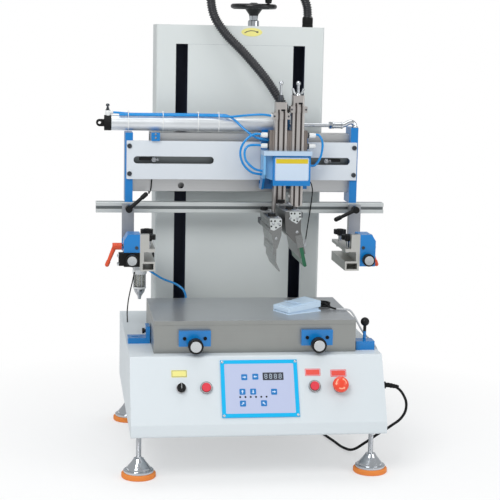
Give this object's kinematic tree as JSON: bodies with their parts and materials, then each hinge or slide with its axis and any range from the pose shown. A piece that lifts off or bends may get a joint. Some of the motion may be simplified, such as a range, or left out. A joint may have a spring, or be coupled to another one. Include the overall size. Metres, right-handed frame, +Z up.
{
  "type": "tabletop screen printer",
  "caption": "Desktop flat screen printer: sloped-front cabinet, printing table, slotted column, lifting head with squeegee carriage and screen-frame clamps.",
  "frame": {"origin": "centre of the machine's footprint on the bench plane, leads left out", "axes": "+X to the operator's right, +Y to the back, +Z up"},
  "size_m": [0.7865, 0.65, 1.3249],
  "materials": {
    "cabinet_paint": "fine texture, semi-matt",
    "column_paint": "fine texture, semi-matt",
    "plate_paint": "smooth, satin",
    "blue_paint": "smooth, semi-gloss",
    "plated_steel": "bright plated",
    "ground_steel": "ground, brushed",
    "guide_steel": "ground",
    "anodised": "satin anodised",
    "cast_block": "machined casting",
    "dark_steel": "black oxide",
    "bronze": "turned",
    "foot_rubber": "matt",
    "panel_film": "satin film",
    "red_plastic": "gloss",
    "black_plastic": "fine grained",
    "orange_plastic": "satin",
    "green_rubber": "satin polyurethane",
    "clear_bowl": "clear",
    "air_tube": "semi-gloss",
    "hose_rubber": "corrugated, satin",
    "cord_rubber": "matt",
    "pedal_paint": "smooth, semi-gloss",
    "nickel": "nickel-plated"
  },
  "bodies": {
    "frame": {"base_cabinet": "cabinet_paint", "foot_studs": "plated_steel", "foot_pads": "foot_rubber", "column_shell": "column_paint", "column_front_cover": "column_paint", "lift_guides": "guide_steel", "table_brackets": "blue_paint", "control_panel": "panel_film", "filter_body": "dark_steel", "filter_bowl": "clear_bowl", "supply_tube": "air_tube", "hose_upper": "hose_rubber", "pedal_base": "pedal_paint", "side_sockets": "nickel", "pedal_cable": "cord_rubber", "mains_cable": "cord_rubber", "mains_coil": "cord_rubber"},
    "head": {"head_block": "cast_block", "head_beam": "anodised", "front_plate": "plate_paint", "end_posts": "blue_paint", "clamp_rail": "anodised", "linear_guides": "guide_steel", "stroke_rod": "plated_steel"},
    "carriage": {"carriage_bracket": "blue_paint", "carriage_cover": "blue_paint", "lift_cylinders": "anodised", "stroke_cylinder": "anodised", "carriage_tubes": "air_tube", "hose_lower": "hose_rubber"},
    "squeegee_lift": {"squeegee_lift": "dark_steel"},
    "squeegee": {"squeegee_holder": "anodised", "squeegee_blade": "green_rubber"},
    "flood_lift": {"flood_lift": "dark_steel"},
    "flood_bar": {"flood_holder": "anodised"},
    "left_clamp": {"left_clamp_arm": "blue_paint", "left_channel": "anodised"},
    "right_clamp": {"right_clamp_arm": "blue_paint", "right_channel": "anodised"},
    "table": {"worktable": "ground_steel"},
    "handwheel": {"handwheel": "plated_steel"},
    "crank_grip": {"crank_grip": "black_plastic"},
    "stop_nut": {"stop_nut": "bronze"},
    "pedal_treadle": {"pedal_treadle": "pedal_paint"},
    "left_table_knob": {"left_table_knob": "black_plastic"},
    "right_table_knob": {"right_table_knob": "black_plastic"},
    "selector_knob": {"selector_knob": "black_plastic"},
    "start_button": {"start_button": "red_plastic"},
    "stop_button": {"stop_button": "red_plastic"},
    "emergency_stop": {"emergency_stop": "red_plastic"},
    "left_arm_lever": {"left_arm_lever": "black_plastic"},
    "right_arm_lever": {"right_arm_lever": "black_plastic"},
    "left_orange_lever": {"left_orange_lever": "orange_plastic"},
    "right_orange_lever": {"right_orange_lever": "orange_plastic"},
    "left_clamp_knob": {"left_clamp_knob": "black_plastic"},
    "right_clamp_knob": {"right_clamp_knob": "black_plastic"},
    "left_front_screw": {"left_front_screw": "black_plastic"},
    "left_rear_screw": {"left_rear_screw": "black_plastic"},
    "right_front_screw": {"right_front_screw": "black_plastic"},
    "right_rear_screw": {"right_rear_screw": "black_plastic"}
  },
  "joints": [
    {"name": "head_lift", "type": "slide", "parent": "frame", "child": "head", "axis": [0, 0, 1], "range_m": [-0.06, 0.03]},
    {"name": "squeegee_stroke", "type": "slide", "parent": "head", "child": "carriage", "axis": [1, 0, 0], "range_m": [-0.2, 0.03]},
    {"name": "squeegee_lift_slide", "type": "slide", "parent": "carriage", "child": "squeegee_lift", "axis": [0, 0, 1], "range_m": [-0.02, 0.008]},
    {"name": "flood_lift_slide", "type": "slide", "parent": "carriage", "child": "flood_lift", "axis": [0, 0, 1], "range_m": [-0.02, 0.008]},
    {"name": "squeegee_tilt", "type": "hinge", "parent": "squeegee_lift", "child": "squeegee", "pos_m": [0.097, 0.015, 0.605], "axis": [0, 1, 0], "range_deg": [-6, 6]},
    {"name": "flood_tilt", "type": "hinge", "parent": "flood_lift", "child": "flood_bar", "pos_m": [0.053, 0.015, 0.587], "axis": [0, 1, 0], "range_deg": [-6, 6]},
    {"name": "left_clamp_slide", "type": "slide", "parent": "head", "child": "left_clamp", "axis": [1, 0, 0], "range_m": [-0.05, 0.045]},
    {"name": "right_clamp_slide", "type": "slide", "parent": "head", "child": "right_clamp", "axis": [1, 0, 0], "range_m": [-0.045, 0.05]},
    {"name": "left_arm_lever_turn", "type": "hinge", "parent": "left_clamp", "child": "left_arm_lever", "pos_m": [-0.299, 0.075, 0.615], "axis": [0, 1, 0], "range_deg": [-60, 60]},
    {"name": "right_arm_lever_turn", "type": "hinge", "parent": "right_clamp", "child": "right_arm_lever", "pos_m": [0.299, 0.075, 0.615], "axis": [0, 1, 0], "range_deg": [-60, 60]},
    {"name": "left_orange_lever_turn", "type": "hinge", "parent": "left_clamp", "child": "left_orange_lever", "pos_m": [-0.318, 0.04, 0.521], "axis": [1, 0, 0], "range_deg": [-60, 60]},
    {"name": "right_orange_lever_turn", "type": "hinge", "parent": "right_clamp", "child": "right_orange_lever", "pos_m": [0.318, 0.04, 0.521], "axis": [1, 0, 0], "range_deg": [-60, 60]},
    {"name": "left_clamp_knob_turn", "type": "hinge", "parent": "left_clamp", "child": "left_clamp_knob", "pos_m": [-0.299, -0.1, 0.508], "axis": [0, 1, 0], "continuous": true},
    {"name": "right_clamp_knob_turn", "type": "hinge", "parent": "right_clamp", "child": "right_clamp_knob", "pos_m": [0.299, -0.1, 0.508], "axis": [0, 1, 0], "continuous": true},
    {"name": "left_front_screw_travel", "type": "slide", "parent": "left_clamp", "child": "left_front_screw", "axis": [0, 0, 1], "range_m": [-0.014, 0]},
    {"name": "left_rear_screw_travel", "type": "slide", "parent": "left_clamp", "child": "left_rear_screw", "axis": [0, 0, 1], "range_m": [-0.014, 0]},
    {"name": "right_front_screw_travel", "type": "slide", "parent": "right_clamp", "child": "right_front_screw", "axis": [0, 0, 1], "range_m": [-0.014, 0]},
    {"name": "right_rear_screw_travel", "type": "slide", "parent": "right_clamp", "child": "right_rear_screw", "axis": [0, 0, 1], "range_m": [-0.014, 0]},
    {"name": "table_shift", "type": "slide", "parent": "frame", "child": "table", "axis": [0, 1, 0], "range_m": [-0.006, 0.006]},
    {"name": "left_table_knob_turn", "type": "hinge", "parent": "table", "child": "left_table_knob", "pos_m": [-0.151, -0.223, 0.32], "axis": [0, 1, 0], "range_deg": [-1441, 1441]},
    {"name": "right_table_knob_turn", "type": "hinge", "parent": "table", "child": "right_table_knob", "pos_m": [0.151, -0.223, 0.32], "axis": [0, 1, 0], "range_deg": [-1441, 1441]},
    {"name": "handwheel_turn", "type": "hinge", "parent": "frame", "child": "handwheel", "pos_m": [0.042, 0.247, 1.143], "axis": [0, 0, 1], "range_deg": [-7200, 540]},
    {"name": "crank_grip_turn", "type": "hinge", "parent": "handwheel", "child": "crank_grip", "pos_m": [0.07492, 0.2017, 1.18], "axis": [0, 0, 1], "continuous": true},
    {"name": "stop_nut_travel", "type": "slide", "parent": "frame", "child": "stop_nut", "axis": [0, 0, 1], "range_m": [-0.1, 0.008]},
    {"name": "selector_turn", "type": "hinge", "parent": "frame", "child": "selector_knob", "pos_m": [-0.188, -0.28157, 0.22491], "axis": [0, -0.8761, 0.4821], "range_deg": [-45, 45]},
    {"name": "start_press", "type": "slide", "parent": "frame", "child": "start_button", "axis": [0, 0.8761, -0.4821], "range_m": [0, 0.004], "stiffness_N_per_m": 600, "springref_m": -0.003},
    {"name": "stop_press", "type": "slide", "parent": "frame", "child": "stop_button", "axis": [0, 0.8761, -0.4821], "range_m": [0, 0.004], "stiffness_N_per_m": 600, "springref_m": -0.003},
    {"name": "emergency_press", "type": "slide", "parent": "frame", "child": "emergency_stop", "axis": [0, 0.8761, -0.4821], "range_m": [0, 0.004]},
    {"name": "treadle_press", "type": "hinge", "parent": "frame", "child": "pedal_treadle", "pos_m": [0.08274, -0.11225, 0.38435], "axis": [-0.454, 0.891, 0], "range_deg": [0, 4], "stiffness_Nm_per_rad": 0.5, "springref_deg": -22.92}
  ],
  "couplings": [
    {"joint": "stop_nut_travel", "follows": "handwheel_turn", "m_per_rad": 0.00079577},
    {"joint": "left_table_knob_turn", "follows": "table_shift", "rad_per_m": 4188.8},
    {"joint": "right_table_knob_turn", "follows": "table_shift", "rad_per_m": 4188.8}
  ]
}
